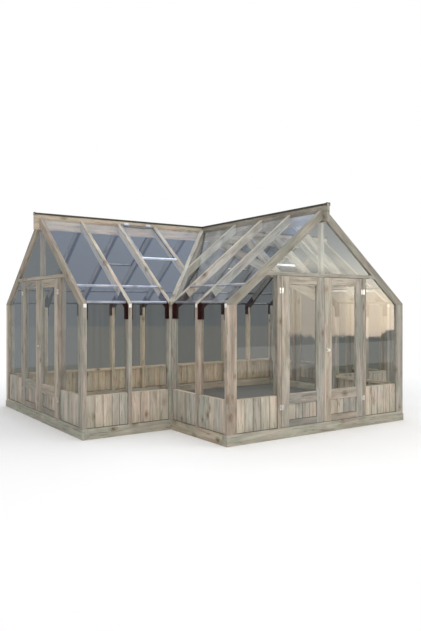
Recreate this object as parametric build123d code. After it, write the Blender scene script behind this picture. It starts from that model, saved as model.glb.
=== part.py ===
from build123d import *
import os
from math import cos, radians, sqrt, tan

# A glass greenhouse of weathered timber on a T-shaped plan, in millimetres.
# A long house runs west to east under one ridge, and a shorter wing runs out of its middle to the
# south under a ridge of the same height. All three gables have a pair of glazed doors.
# Work is done with X east, Y north, Z up and the crossing of the two ridges over X = 0, Y = 0.
# At the end the whole building moves north, so that its origin is under the middle of its box.

# Plan and heights
gable_width = 3000
wing_length = 1200
eave_height = 1600
roof_pitch = 38.5
ridge_rise = 65
ridge_overhang = 70
north_bays = 9

# Timber sections
post_width = 50
post_depth = 90
gable_stud_width = 47
jamb_width = 57
jamb_depth = 90
rafter_depth = 100
valley_width = 58
valley_drop = 140
corner_overlap = 24
ridge_beam_width = 45
ridge_beam_depth = 225
transom_height = 44
transom_rise = 328

# Sill of the whole building: a broad lower beam with a narrower ledge on it
sill_beam_height = 90
sill_beam_depth = 98
sill_lip = 8
sill_ledge_height = 35

# Boarded dwarf wall with a rail behind its top
dwarf_wall_top = 510
board_setback = 10
board_thickness = 20
rail_height = 40
rail_depth = 45

# Glass and its metalwork
glass_thickness = 4
wall_glass_setback = 58
gable_glass_setback = 20
roof_glass_setback = 8
roof_glass_inset = 36
glazing_bar_rise = 220
glazing_bar_width = 24
glazing_bar_height = 14
eave_strip_height = 14
eave_strip_inset = 38
vent_length = 868
vent_bar = 24
vent_bar_height = 16
vent_hinge_length = 80
vent_hinge_size = 22
vent_hinge_inset = 95

# Ridge capping
ridge_cap_thickness = 4
ridge_cap_lip = 22
ridge_end_thickness = 8
ridge_end_height = 40
ridge_end_margin = 6

# Knee plates at the heads of the posts
plate_thickness = 12
plate_leg = 175
plate_arm = 215
plate_setback = 2

# Doors, and the glazed bay between each gable stud and its door jamb
side_light_width = 602
door_gap = 5
door_meeting_gap = 6
door_thickness = 40
stile_width = 120
top_rail_height = 94
mid_rail_height = 115
bottom_rail_height = 75
door_panel_thickness = 18
door_glass_setback = 16
door_swing = 110

# Door furniture
hinge_height = 64
hinge_plate_width = 30
hinge_plate_thickness = 2
hinge_barrel_radius = 6
hinge_barrel_share = 0.4
hinge_barrel_gap = 0.5
upper_hinge_drop = 178
lower_hinge_rise = 245
handle_level = 1018
handle_from_edge = 55
rose_radius = 24
rose_thickness = 4
stem_radius = 8
stem_length = 16
knob_radius = 21
knob_length = 22

# Derived places
half_width = gable_width / 2
reach = half_width + wing_length
sill_height = sill_beam_height + sill_ledge_height
pitch = tan(radians(roof_pitch))
plumb = 1 / cos(radians(roof_pitch))
rafter_drop = rafter_depth * plumb
stud_inner = post_depth + gable_stud_width
seat_height = eave_height + stud_inner * pitch - rafter_drop
ridge_face = half_width - ridge_beam_width / 2
ridge_height = eave_height + ridge_face * pitch + ridge_rise
beam_top = ridge_height - ridge_cap_thickness
beam_bottom = beam_top - ridge_beam_depth
glass_drop = roof_glass_setback * plumb
glass_rise = glass_thickness * plumb
bar_run = glazing_bar_rise / pitch
vent_run = ridge_face - vent_length / plumb
grid_step = (2 * reach - post_width) / north_bays
north_grid = [post_width / 2 - reach + grid_step * place for place in range(north_bays + 1)]
inner_post_place = corner_overlap - half_width - post_width / 2
wing_rafter_places = [north_grid[1], inner_post_place, north_grid[3]]
valley_side = valley_width / 2 * sqrt(2)
transom_bottom = eave_height + transom_rise
gable_stud_face = half_width - stud_inner
jamb_outer = gable_stud_face - side_light_width
door_opening = 2 * (jamb_outer - jamb_width)
to_origin = (reach + ridge_overhang - half_width - sill_lip) / 2


def block(x_range, y_range, z_range):
    """A square-edged piece between two corners."""
    size = [high - low for low, high in (x_range, y_range, z_range)]
    middle = [(high + low) / 2 for low, high in (x_range, y_range, z_range)]
    return Pos(*middle) * Box(*size)


def prism(points, direction, length):
    """A flat outline of straight edges, drawn out along one direction."""
    outline = Polyline(*points, close=True)
    return extrude(make_face(outline), amount=length, dir=direction)


def upright(points, z_range):
    """A plan outline, drawn up between two levels."""
    low, high = z_range
    return prism([(x, y, low) for x, y in points], (0, 0, 1), high - low)


def south_slope(points, x_range):
    """A section of the long house's south side, drawn out along X.

    The section's points are given as run in from the wall face, and height.
    """
    west, east = x_range
    return prism([(west, run - half_width, height) for run, height in points], (1, 0, 0), east - west)


def centred(place, width):
    """The range of a piece of this width centred on a place."""
    return (place - width / 2, place + width / 2)


def roof_level(run):
    """Height of the rafters' top edge at a run in from the wall face."""
    return eave_height + run * pitch


def to_north(shape):
    return mirror(shape, about=Plane.XZ)


def to_east(shape):
    return mirror(shape, about=Plane.YZ)


def to_south_wing(shape):
    """The west wing's south side, folded over the west valley, is the south wing's west side."""
    return mirror(shape, about=Plane(origin=(0, 0, 0), z_dir=(1, -1, 0)))


def both_wings(shapes):
    """From the west wing's south side: that side, the south wing's west side, and their mirrors."""
    west = list(shapes) + [to_south_wing(shape) for shape in shapes]
    return west + [to_east(shape) for shape in west]


def all_gables(shapes):
    """From the south gable, the west and east gables too."""
    west = [Rot(0, 0, -90) * shape for shape in shapes]
    east = [Rot(0, 0, 90) * shape for shape in shapes]
    return list(shapes) + west + east


def save(name, shapes):
    """Write one node, moved to the building's own origin."""
    solids = [solid for shape in shapes for solid in shape.solids()]
    moved = [Pos(0, to_origin, 0) * solid for solid in solids]
    piece = moved[0] if len(moved) == 1 else Compound(children=moved)
    export_step(piece, f"parts/{name}.step")


# Sills

def sill_section():
    """Beam with a lip past the wall face, and the ledge that the posts stand on."""
    inner = sill_beam_depth - sill_lip
    return [
        (-sill_lip, 0),
        (inner, 0),
        (inner, sill_height),
        (0, sill_height),
        (0, sill_beam_height),
        (-sill_lip, sill_beam_height),
    ]


def gable_sill():
    """South gable's sill, which takes in the corners of the building."""
    inner = sill_beam_depth - sill_lip - reach
    lip = half_width + sill_lip
    beam = block((-lip, lip), (-reach - sill_lip, inner), (0, sill_beam_height))
    ledge = block((-half_width, half_width), (-reach, inner), (sill_beam_height, sill_height))
    return beam + ledge


def side_sills():
    """Long house's sills: the north one between the gables, and the south ones to the wing."""
    inner = sill_beam_depth - sill_lip
    north = to_north(south_slope(sill_section(), (inner - reach, reach - inner)))
    south_west = south_slope(sill_section(), (inner - reach, -half_width)) - south_wing_sills()[0]
    return [north, south_west, to_east(south_west)]


def south_wing_sills():
    """The wing's side sills, from its gable to the inner face of the long house's sills."""
    inner = sill_beam_depth - sill_lip
    west = to_south_wing(south_slope(sill_section(), (inner - reach, inner - half_width)))
    return [west, to_east(west)]


# Posts

def side_post(place):
    """One post of the long house's south side."""
    depth = (-half_width, post_depth - half_width)
    return block(centred(place, post_width), depth, (sill_height, seat_height))


def inner_corner_post():
    """Two wall posts and the corner between them, as one built-up post under the valley."""
    inner = post_depth - half_width
    outer = inner_post_place - post_width / 2
    plan = [
        (outer, -half_width),
        (outer, inner),
        (inner, inner),
        (inner, outer),
        (-half_width, outer),
        (-half_width, -half_width),
    ]
    return upright(plan, (sill_height, seat_height))


# Roof timber

def rafter_section(run_end, heel_run):
    """Side view of a rafter, with a level seat over the post as far as the heel."""
    return [
        (0, eave_height),
        (run_end, roof_level(run_end)),
        (run_end, roof_level(run_end) - rafter_drop),
        (heel_run, roof_level(heel_run) - rafter_drop),
        (heel_run, seat_height),
        (0, seat_height),
    ]


def rafter(place):
    return south_slope(rafter_section(ridge_face, post_depth), centred(place, post_width))


def barge_rafter():
    """Gable rafter over the corner post and the gable stud, whose faces it carries on."""
    section = [
        (0, eave_height),
        (ridge_face, roof_level(ridge_face)),
        (ridge_face, roof_level(ridge_face) - rafter_drop),
        (stud_inner, seat_height),
        (0, seat_height),
    ]
    return south_slope(section, (-reach, post_width - reach))


def south_barges():
    west = to_south_wing(barge_rafter())
    return [west, to_east(west)]


def west_of_valley():
    """Everything over the west wing's south slope, up to the valley rafter's side."""
    plan = [
        (-reach, -half_width),
        (-half_width - valley_side, -half_width),
        (-valley_side - ridge_beam_width / 2, -ridge_beam_width / 2),
        (-reach, -ridge_beam_width / 2),
    ]
    return upright(plan, (sill_height, ridge_height))


def wing_rafters():
    """Whole rafters over the posts, and the jack rafter cut to the valley."""
    return [rafter(place) & west_of_valley() for place in wing_rafter_places]


def valley_rafter():
    """The rafter up the west valley, level across its top and cut to both ridge beams."""
    side = valley_width / 2 / sqrt(2)
    lift = side * pitch
    section = [
        (0, roof_level(0) + lift),
        (half_width, roof_level(half_width) + lift),
        (half_width, roof_level(half_width) - valley_drop),
        (post_depth, roof_level(post_depth) - valley_drop),
        (post_depth, seat_height),
        (0, seat_height),
    ]
    start = [(run - half_width + side, run - half_width - side, height) for run, height in section]
    bar = prism(start, (-1, 1, 0), valley_width)
    quarter = (-half_width, -ridge_beam_width / 2)
    return bar & block(quarter, quarter, (sill_height, ridge_height))


def ridge_beam(y_range):
    """The south ridge's beam between two places along Y."""
    width = centred(0, ridge_beam_width)
    return block(width, y_range, (beam_bottom, beam_top))


def ridge_cap(y_range, end_places):
    """Channel of bent sheet over a ridge beam, with a raised plate at each gable end."""
    outer = ridge_beam_width / 2 + ridge_cap_thickness
    cover = block((-outer, outer), y_range, (beam_top - ridge_cap_lip, ridge_height))
    cover -= ridge_beam(y_range)
    plate_outer = outer + ridge_end_margin
    plate_top = ridge_height + ridge_end_margin
    for low, high in end_places:
        plate = block((-plate_outer, plate_outer), (low, high), (plate_top - ridge_end_height, plate_top))
        cover += plate - ridge_beam((low, high))
    return cover


# Wall panels and glass

def boarding(x_range):
    """Upright boards of one bay of the south side, as one panel."""
    outer = board_setback - half_width
    return block(x_range, (outer, outer + board_thickness), (sill_height, dwarf_wall_top))


def wall_rail(x_range):
    """Rail that the boards are nailed to, behind their top."""
    outer = board_setback + board_thickness - half_width
    return block(x_range, (outer, outer + rail_depth), (dwarf_wall_top - rail_height, dwarf_wall_top))


def wall_glass_top():
    """Underside of the roof glass over the wall glass."""
    return roof_level(wall_glass_setback) - glass_drop - glass_rise


def wall_pane(x_range):
    """Glass of one bay, notched at its top corners round the knee plates."""
    west, east = x_range
    depth = (wall_glass_setback - half_width, wall_glass_setback + glass_thickness - half_width)
    plate_foot = seat_height - plate_leg
    lower = block(x_range, depth, (dwarf_wall_top, plate_foot))
    upper_range = (west + plate_thickness, east - plate_thickness)
    return lower + block(upper_range, depth, (plate_foot, wall_glass_top()))


def eave_strip(x_range):
    """Metal strip under the lower edge of the roof glass, in front of the wall glass.

    It runs from one knee plate of the bay to the other.
    """
    west, east = x_range
    top = [(run, roof_level(run) - glass_drop - glass_rise) for run in (eave_strip_inset, wall_glass_setback)]
    bottom = [(run, height - eave_strip_height) for run, height in reversed(top)]
    return south_slope(top + bottom, (west + plate_thickness, east - plate_thickness))


def slope_layer(run_range, x_range, top_drop, depth):
    """A layer parallel to the roof, given by how far its top and underside lie below it."""
    low, high = run_range
    section = [
        (low, roof_level(low) - top_drop),
        (high, roof_level(high) - top_drop),
        (high, roof_level(high) - top_drop - depth),
        (low, roof_level(low) - top_drop - depth),
    ]
    return south_slope(section, x_range)


def roof_pane(run_range, x_range):
    return slope_layer(run_range, x_range, glass_drop, glass_rise)


def glazing_bar(x_range):
    """Metal bar across a bay between the lower and the upper pane."""
    run_range = (bar_run, bar_run + glazing_bar_width / plumb)
    top_drop = glass_drop - glazing_bar_height / 2 * plumb
    return slope_layer(run_range, x_range, top_drop, glazing_bar_height * plumb)


def whole_bay(x_range):
    """Lower and upper roof panes of a bay, each side of its glazing bar."""
    upper_start = bar_run + glazing_bar_width / plumb
    return [roof_pane((roof_glass_inset, bar_run), x_range), roof_pane((upper_start, ridge_face), x_range)]


def vented_bay(x_range):
    """Roof panes of a bay whose top is a vent."""
    upper_start = bar_run + glazing_bar_width / plumb
    return [roof_pane((roof_glass_inset, bar_run), x_range), roof_pane((upper_start, vent_run), x_range)]


def vent_frame(x_range):
    """Metal frame of a roof vent and the two hinges that hang it from the ridge beam."""
    west, east = x_range
    drop = glass_drop - vent_bar_height / 2 * plumb
    depth = vent_bar_height * plumb
    rim = slope_layer((vent_run, ridge_face), x_range, drop, depth)
    inset = vent_bar / plumb
    hole = slope_layer((vent_run + inset, ridge_face - inset), (west + vent_bar, east - vent_bar), drop, depth)
    frame = rim - hole
    hinge_low = ridge_face - vent_hinge_size
    for middle in (west + vent_hinge_inset, east - vent_hinge_inset):
        section = [
            (hinge_low, roof_level(hinge_low) - drop),
            (ridge_face, roof_level(ridge_face) - drop),
            (ridge_face, roof_level(ridge_face) + vent_hinge_size),
        ]
        frame += south_slope(section, centred(middle, vent_hinge_length))
    return frame


def vent_pane(x_range):
    west, east = x_range
    inset = vent_bar / plumb
    return roof_pane((vent_run + inset, ridge_face - inset), (west + vent_bar, east - vent_bar))


def knee_plate(start):
    """Plate on the whole side of a post and of its rafter as far up as the roof glass."""
    inner = post_depth
    arm_end = inner + plate_arm / plumb
    cut = (rafter_drop - glass_drop - glass_rise) / plumb * sqrt(1 - 1 / plumb ** 2)
    section = [
        (plate_setback, seat_height - plate_leg),
        (inner, seat_height - plate_leg),
        (inner, roof_level(inner) - rafter_drop),
        (arm_end, roof_level(arm_end) - rafter_drop),
        (arm_end - cut, roof_level(arm_end - cut) - glass_drop - glass_rise),
        (plate_setback, roof_level(plate_setback) - glass_drop - glass_rise),
    ]
    return south_slope(section, (start, start + plate_thickness))


def plates_beside(place):
    """A knee plate on each side of a post."""
    return [knee_plate(place - post_width / 2 - plate_thickness), knee_plate(place + post_width / 2)]


# Gables

def gable_layer(points, depth_range):
    """An outline in the south gable, given as X and height, between two depths behind its face."""
    low, high = depth_range
    return prism([(x, low - reach, height) for x, height in points], (0, 1, 0), high - low)


def barge_run(height):
    """Run at which the barge rafter's underside has this height."""
    return (height + rafter_drop - eave_height) / pitch


def gable_stud():
    """Stud beside the corner post."""
    x_range = (-gable_stud_face - gable_stud_width, -gable_stud_face)
    return block(x_range, (-reach, post_depth - reach), (sill_height, seat_height))


def door_jamb():
    x_range = (-jamb_outer, -door_opening / 2)
    return block(x_range, (-reach, jamb_depth - reach), (sill_height, transom_bottom))


def transom():
    """Rail over the doors from one barge rafter to the other."""
    transom_top = transom_bottom + transom_height
    low = half_width - barge_run(transom_bottom)
    high = half_width - barge_run(transom_top)
    outline = [(-low, transom_bottom), (low, transom_bottom), (high, transom_top), (-high, transom_top)]
    return gable_layer(outline, (0, post_depth))


def king_post():
    """Post from the transom to the ridge beam, behind the gable's upper glass.

    Its head is bevelled to the undersides of the two barge rafters.
    """
    low = gable_glass_setback + glass_thickness
    depth = (low - reach, post_depth - reach)
    height = (transom_bottom + transom_height, beam_bottom)
    post = block(centred(0, post_width), depth, height)
    for barge in south_barges():
        post -= barge
    return post


def beside_door(make_piece):
    """A side wall's piece, made between the gable stud and the door jamb on both sides of the doors."""
    piece = Pos(0, half_width - reach, 0) * make_piece((-gable_stud_face, -jamb_outer))
    return [piece, to_east(piece)]


def gable_panes():
    """Glass beside the doors under the barge rafters, and the sheet over the transom."""
    depth = (gable_glass_setback, gable_glass_setback + glass_thickness)
    side = [
        (-gable_stud_face, dwarf_wall_top),
        (-jamb_outer, dwarf_wall_top),
        (-jamb_outer, transom_bottom),
        (barge_run(transom_bottom) - half_width, transom_bottom),
        (-gable_stud_face, seat_height),
    ]
    transom_top = transom_bottom + transom_height
    low = half_width - barge_run(transom_top)
    high = half_width - min(ridge_face, barge_run(beam_bottom))
    upper = [(-low, transom_top), (low, transom_top), (high, beam_bottom), (-high, beam_bottom)]
    side_pane = gable_layer(side, depth)
    return [side_pane, to_east(side_pane), gable_layer(upper, depth)]


# Doors of the south gable, left leaf. The right leaf is its mirror.

def leaf_range():
    return (door_gap - door_opening / 2, -door_meeting_gap / 2)


def leaf_levels():
    return (sill_height + door_gap, transom_bottom - door_gap)


def hinge_axis():
    """Place of the left leaf's hinge pin in plan."""
    return (door_gap / 2 - door_opening / 2, -reach - hinge_barrel_radius)


def door_leaf():
    """Framed leaf: stiles, three rails, a glazed opening and a boarded panel set back below it."""
    west, east = leaf_range()
    low, high = leaf_levels()
    leaf = block((west, east), (-reach, door_thickness - reach), (low, high))
    inner = (west + stile_width, east - stile_width)
    through = (-reach, door_thickness - reach)
    leaf -= block(inner, through, (dwarf_wall_top, high - top_rail_height))
    panel_levels = (low + bottom_rail_height, dwarf_wall_top - mid_rail_height)
    margin = (door_thickness - door_panel_thickness) / 2
    leaf -= block(inner, (-reach, margin - reach), panel_levels)
    leaf -= block(inner, (door_thickness - margin - reach, door_thickness - reach), panel_levels)
    return leaf


def door_pane():
    west, east = leaf_range()
    _, high = leaf_levels()
    depth = (door_glass_setback - reach, door_glass_setback + glass_thickness - reach)
    return block((west + stile_width, east - stile_width), depth, (dwarf_wall_top, high - top_rail_height))


def hinge_barrel(z_range):
    low, high = z_range
    x, y = hinge_axis()
    return Pos(x, y, (low + high) / 2) * Cylinder(hinge_barrel_radius, high - low)


def hinge_middle(level):
    """Levels of the barrel's middle part, which the door's plate carries."""
    return centred(level, hinge_height * hinge_barrel_share)


def door_hinge(level):
    """Door half of a hinge: plate on the stile and the middle of the barrel."""
    x, _ = hinge_axis()
    edge = x + hinge_barrel_radius + hinge_barrel_gap
    face = (-reach - hinge_plate_thickness, -reach)
    plate = block((edge, x + hinge_plate_width), face, centred(level, hinge_height))
    tongue = block((x, edge), face, hinge_middle(level))
    return plate + tongue + hinge_barrel(hinge_middle(level))


def jamb_hinge(level):
    """Jamb half of a hinge: plate on the jamb and both ends of the barrel."""
    x, _ = hinge_axis()
    edge = x - hinge_barrel_radius - hinge_barrel_gap
    face = (-reach - hinge_plate_thickness, -reach)
    low, high = centred(level, hinge_height)
    middle_low, middle_high = hinge_middle(level)
    half = block((x - hinge_plate_width, edge), face, (low, high))
    for ends in ((low, middle_low - hinge_barrel_gap), (middle_high + hinge_barrel_gap, high)):
        half += block((edge, x), face, ends) + hinge_barrel(ends)
    return half


def door_handle():
    """Rose, stem and rounded knob on the right leaf, beside the meeting line."""
    rim = knob_radius / 3
    start = rose_thickness + stem_length
    profile = [
        (0, 0),
        (rose_radius, 0),
        (rose_radius, rose_thickness),
        (stem_radius, rose_thickness),
        (stem_radius, start),
        (knob_radius - rim, start),
        (knob_radius, start + knob_length / 2),
        (knob_radius - rim, start + knob_length),
        (0, start + knob_length),
    ]
    turned = revolve(make_face(Polyline(*[(r, 0, h) for r, h in profile], close=True)), Axis.Z)
    return Pos(handle_from_edge, -reach, handle_level) * Rot(90, 0, 0) * turned


hinge_levels = (transom_bottom - upper_hinge_drop, sill_height + lower_hinge_rise)
left_hinges = [door_hinge(level) for level in hinge_levels]
right_hinges = [to_east(hinge) for hinge in left_hinges]
jamb_hinges = [jamb_hinge(level) for level in hinge_levels]

# Bays between the faces of neighbouring posts or rafters
north_bay_ranges = [
    (west + post_width / 2, east - post_width / 2) for west, east in zip(north_grid, north_grid[1:])
]
wing_posts_in_row = [north_grid[0], north_grid[1], inner_post_place]
wing_bay_ranges = [
    (west + post_width / 2, east - post_width / 2)
    for west, east in zip(wing_posts_in_row, wing_posts_in_row[1:])
]
valley_bay = (inner_post_place + post_width / 2, north_grid[3] - post_width / 2)
point_bay = (north_grid[3] + post_width / 2, -ridge_beam_width / 2)
vent_bay = (north_grid[2] + post_width / 2, north_grid[3] - post_width / 2)

north_panes = []
for bay in north_bay_ranges[:4]:
    north_panes += vented_bay(bay) if bay == vent_bay else whole_bay(bay)
middle_bay = north_bay_ranges[4]
north_panes = north_panes + [to_east(pane) for pane in north_panes] + whole_bay(middle_bay)

whole_wing_panes = [pane for bay in wing_bay_ranges for pane in whole_bay(bay)]
point_pane = roof_pane((0, ridge_face), point_bay) & west_of_valley()
front_valley_pane = roof_pane((0, vent_run), valley_bay) & west_of_valley()
wing_valley_pane = roof_pane((0, ridge_face), valley_bay) & west_of_valley()
front_panes = whole_wing_panes + [point_pane, front_valley_pane]
south_panes = [to_south_wing(pane) for pane in whole_wing_panes + [point_pane, wing_valley_pane]]
wing_panes = front_panes + south_panes

north_bars = [to_north(glazing_bar(bay)) for bay in north_bay_ranges]
wing_bars = both_wings([glazing_bar(bay) for bay in wing_bay_ranges])
strips = [to_north(eave_strip(bay)) for bay in north_bay_ranges]
strips += both_wings([eave_strip(bay) for bay in wing_bay_ranges])

north_plates = [plate for place in north_grid[1:-1] for plate in plates_beside(place)]
corner_plate = knee_plate(post_width - reach) - Rot(0, 0, -90) * to_east(gable_stud())
north_plates += [corner_plate, to_east(corner_plate)]
wing_plates = [corner_plate] + plates_beside(north_grid[1])
wing_plates += [knee_plate(inner_post_place - post_width / 2 - plate_thickness)]

vents = [vent_frame(vent_bay), vent_pane(vent_bay)]
front_vents = [vent_frame(valley_bay), vent_pane(valley_bay)]
vent_frames = [to_north(vents[0]), front_vents[0]]
vent_panes = [to_north(vents[1]), front_vents[1]]

west_barges = [barge_rafter(), to_north(barge_rafter())]
barge_rafters = west_barges + [to_east(barge) for barge in west_barges] + south_barges()

beam_end = -reach - ridge_overhang
south_end = (beam_end, beam_end + ridge_end_thickness)
north_end = (-beam_end - ridge_end_thickness, -beam_end)
south_cap_end = -ridge_beam_width / 2 - ridge_cap_thickness
long_beam = Rot(0, 0, 90) * ridge_beam((beam_end, -beam_end))
south_beam = ridge_beam((beam_end, -ridge_beam_width / 2))
long_cap = Rot(0, 0, 90) * ridge_cap((beam_end, -beam_end), (south_end, north_end)) - south_beam

gable_posts = [gable_stud(), door_jamb()]
gable_posts += [to_east(post) for post in gable_posts]

wall_rails = [to_north(wall_rail(bay)) for bay in north_bay_ranges]
wall_rails += both_wings([wall_rail(bay) for bay in wing_bay_ranges])
wall_rails += all_gables(beside_door(wall_rail))

os.makedirs("parts", exist_ok=True)
save("gable_sills", all_gables([gable_sill()]))
save("long_house_sills", side_sills())
save("south_wing_sills", south_wing_sills())
save("north_posts", [to_north(side_post(place)) for place in north_grid])
save("wing_posts", both_wings([side_post(place) for place in north_grid[:2]]))
save("inner_corner_posts", [inner_corner_post(), to_east(inner_corner_post())])
save("gable_posts", all_gables(gable_posts))
save("gable_transoms", all_gables([transom()]))
save("king_posts", all_gables([king_post()]))
save("north_dwarf_wall", [to_north(boarding(bay)) for bay in north_bay_ranges])
save("wing_dwarf_walls", both_wings([boarding(bay) for bay in wing_bay_ranges]))
save("gable_dwarf_walls", all_gables(beside_door(boarding)))
save("dwarf_wall_rails", wall_rails)
save("north_wall_glass", [to_north(wall_pane(bay)) for bay in north_bay_ranges])
save("wing_wall_glass", both_wings([wall_pane(bay) for bay in wing_bay_ranges]))
save("gable_glass", all_gables(gable_panes()))
save("north_rafters", [to_north(rafter(place)) for place in north_grid[1:-1]])
save("wing_rafters", both_wings(wing_rafters()))
save("valley_rafters", [valley_rafter(), to_east(valley_rafter())])
save("barge_rafters", barge_rafters)
save("long_ridge_beam", [long_beam])
save("south_ridge_beam", [south_beam])
save("long_ridge_cap", [long_cap])
save("south_ridge_cap", [ridge_cap((beam_end, south_cap_end), (south_end,))])
save("north_roof_glass", [to_north(pane) for pane in north_panes])
save("wing_roof_glass", wing_panes + [to_east(pane) for pane in wing_panes])
save("roof_glazing_bars", north_bars + wing_bars)
save("eave_strips", strips)
save("knee_plates", [to_north(plate) for plate in north_plates] + both_wings(wing_plates))
save("roof_vent_frames", vent_frames + [to_east(frame) for frame in vent_frames])
save("roof_vent_glass", vent_panes + [to_east(pane) for pane in vent_panes])
save("jamb_hinges", all_gables(jamb_hinges + [to_east(hinge) for hinge in jamb_hinges]))

for gable, turn in (("south", 0), ("west", -90), ("east", 90)):
    facing = Rot(0, 0, turn)
    save(f"{gable}_left_door", [facing * door_leaf()])
    save(f"{gable}_right_door", [facing * to_east(door_leaf())])
    save(f"{gable}_left_door_glass", [facing * door_pane()])
    save(f"{gable}_right_door_glass", [facing * to_east(door_pane())])
    save(f"{gable}_left_door_hinges", [facing * hinge for hinge in left_hinges])
    save(f"{gable}_right_door_furniture", [facing * piece for piece in right_hinges + [door_handle()]])

pin_x, pin_y = hinge_axis()
print("south left hinge pin", pin_x, pin_y + to_origin, "opens by", door_swing)
print("move to origin", to_origin)
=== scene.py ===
"""A glass greenhouse of weathered softwood on a T-shaped plan: its finishes, boards, doors and light."""

import math

import bmesh
import bpy
import numpy as np
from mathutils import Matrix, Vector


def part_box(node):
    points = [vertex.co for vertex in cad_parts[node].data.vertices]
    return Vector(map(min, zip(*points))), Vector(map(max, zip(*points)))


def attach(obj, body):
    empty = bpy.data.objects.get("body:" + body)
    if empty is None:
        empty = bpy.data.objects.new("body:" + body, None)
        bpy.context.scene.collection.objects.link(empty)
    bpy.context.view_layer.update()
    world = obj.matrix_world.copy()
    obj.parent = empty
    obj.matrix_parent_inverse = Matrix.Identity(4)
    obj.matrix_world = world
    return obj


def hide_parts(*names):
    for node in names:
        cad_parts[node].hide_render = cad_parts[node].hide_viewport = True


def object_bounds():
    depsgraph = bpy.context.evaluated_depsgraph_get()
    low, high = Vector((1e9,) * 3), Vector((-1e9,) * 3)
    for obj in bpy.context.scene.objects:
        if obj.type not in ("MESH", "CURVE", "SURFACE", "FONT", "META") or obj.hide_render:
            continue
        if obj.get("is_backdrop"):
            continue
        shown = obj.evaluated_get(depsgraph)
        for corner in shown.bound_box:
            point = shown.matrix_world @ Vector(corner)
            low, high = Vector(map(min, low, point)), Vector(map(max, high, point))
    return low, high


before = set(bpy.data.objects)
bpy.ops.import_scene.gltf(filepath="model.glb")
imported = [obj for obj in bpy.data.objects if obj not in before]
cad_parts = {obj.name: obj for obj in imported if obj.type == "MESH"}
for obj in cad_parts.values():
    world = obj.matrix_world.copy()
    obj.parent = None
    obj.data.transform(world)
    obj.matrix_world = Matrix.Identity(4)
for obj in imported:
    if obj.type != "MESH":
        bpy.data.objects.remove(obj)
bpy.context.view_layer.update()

FRAME_BODY = "greenhouse_frame"
GABLES = ("south", "west", "east")
RIDGE_LOW, RIDGE_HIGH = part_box("long_ridge_beam")
RIDGE_LINE_Y = (RIDGE_LOW.y + RIDGE_HIGH.y) / 2
rng = np.random.default_rng(2)

# Wall boards, in metres. The joints are drawn a little wider than real ones, so that they show.
BOARD_WIDTH = 0.118
BOARD_GAP = 0.0065
BOARD_CHAMFER = 0.005
LEAST_BOARDS = 2
TONGUE_REACH = 1.5 * BOARD_GAP
FOOT_GAP = 0.005
FILLET_HEIGHT = 2 * FOOT_GAP

# Each joint is off its even place by up to this share of a board, and each face by up to this depth.
WIDTH_JITTER = 0.06
DEPTH_JITTER = 0.001

# Doors, in metres, with depths counted inwards from the leaf's outer face
LEAF_THICKNESS = 0.040
MID_RAIL_HEIGHT = 0.115
BOTTOM_RAIL_HEIGHT = 0.075
PANEL_FRONT, PANEL_BACK = 0.011, 0.029
GLASS_FRONT, GLASS_BACK = 0.016, 0.020
BEAD_WIDTH = 0.012

# Timbers and clips, in metres
TIMBER_CHAMFER = 0.002
CLIP_WIDTH, CLIP_HEIGHT, CLIP_THICKNESS = 0.038, 0.044, 0.004
CLIP_RISE = 0.012
CLIP_CHAMFER = 0.001

# How dark a piece is drawn for damp and dirt and as painted shade, from nought in full sun to one
JOINT_DIRT_AND_SHADE = 0.6
NORTH_JOINT_DIRT_AND_SHADE = 0.3
MID_RAIL_DAMP_AND_SHADE = 0.12
BOTTOM_RAIL_DAMP_AND_SHADE = 0.22
# The north rafters are darkened mostly as painted shade, and the gable posts a little.
BAR_DAMP_AND_SHADE = {"north_rafters": 0.63, "gable_posts": 0.10}

# Each bar takes its grain from its own place in a block of timber with sides this many metres long.
GRAIN_SPREAD = 40

# At scale 1 a noise has marks about this many millimetres long.
NOISE_MARK_MM = 500


# Nodes and colours

# Settings of a colour mix that lays one over the other, of one that multiplies them, and of a change of
# range with soft ends. A colour mix takes its colours in inputs 6 and 7 and gives the result in output 2.
MIX = {"data_type": "RGBA", "blend_type": "MIX"}
MULTIPLY = {"data_type": "RGBA", "blend_type": "MULTIPLY"}
SOFT = {"interpolation_type": "SMOOTHSTEP"}

WHITE = (1.0, 1.0, 1.0, 1.0)


def linear(code):
    """An sRGB hex colour as linear red, green, blue and alpha."""
    parts = np.array([int(code[i:i + 2], 16) for i in (1, 3, 5)]) / 255
    low = parts / 12.92
    high = ((parts + 0.055) / 1.055) ** 2.4
    return tuple(np.where(parts <= 0.04045, low, high)) + (1.0,)


def add(tree, kind, inputs=None, stops=(), **settings):
    """Adds a node, sets its properties, and sets or links the inputs that are given by name or number.

    Stops are the (place, hex colour) pairs of a colour ramp.
    """
    made = tree.nodes.new(kind)
    for name, value in settings.items():
        setattr(made, name, value)
    for key, value in (inputs or {}).items():
        socket = made.inputs[key]
        if isinstance(value, bpy.types.NodeSocket):
            tree.links.new(value, socket)
        else:
            socket.default_value = value
    if stops:
        elements = made.color_ramp.elements
        elements[0].position, elements[0].color = stops[0][0], linear(stops[0][1])
        elements[1].position, elements[1].color = stops[-1][0], linear(stops[-1][1])
        for place, code in stops[1:-1]:
            elements.new(place).color = linear(code)
    return made


def new_material(name):
    """An empty material and its node tree, with an output node."""
    material = bpy.data.materials.new(name)
    material.use_nodes = True
    tree = material.node_tree
    tree.nodes.clear()
    return material, tree, add(tree, "ShaderNodeOutputMaterial")


# Materials

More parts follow.
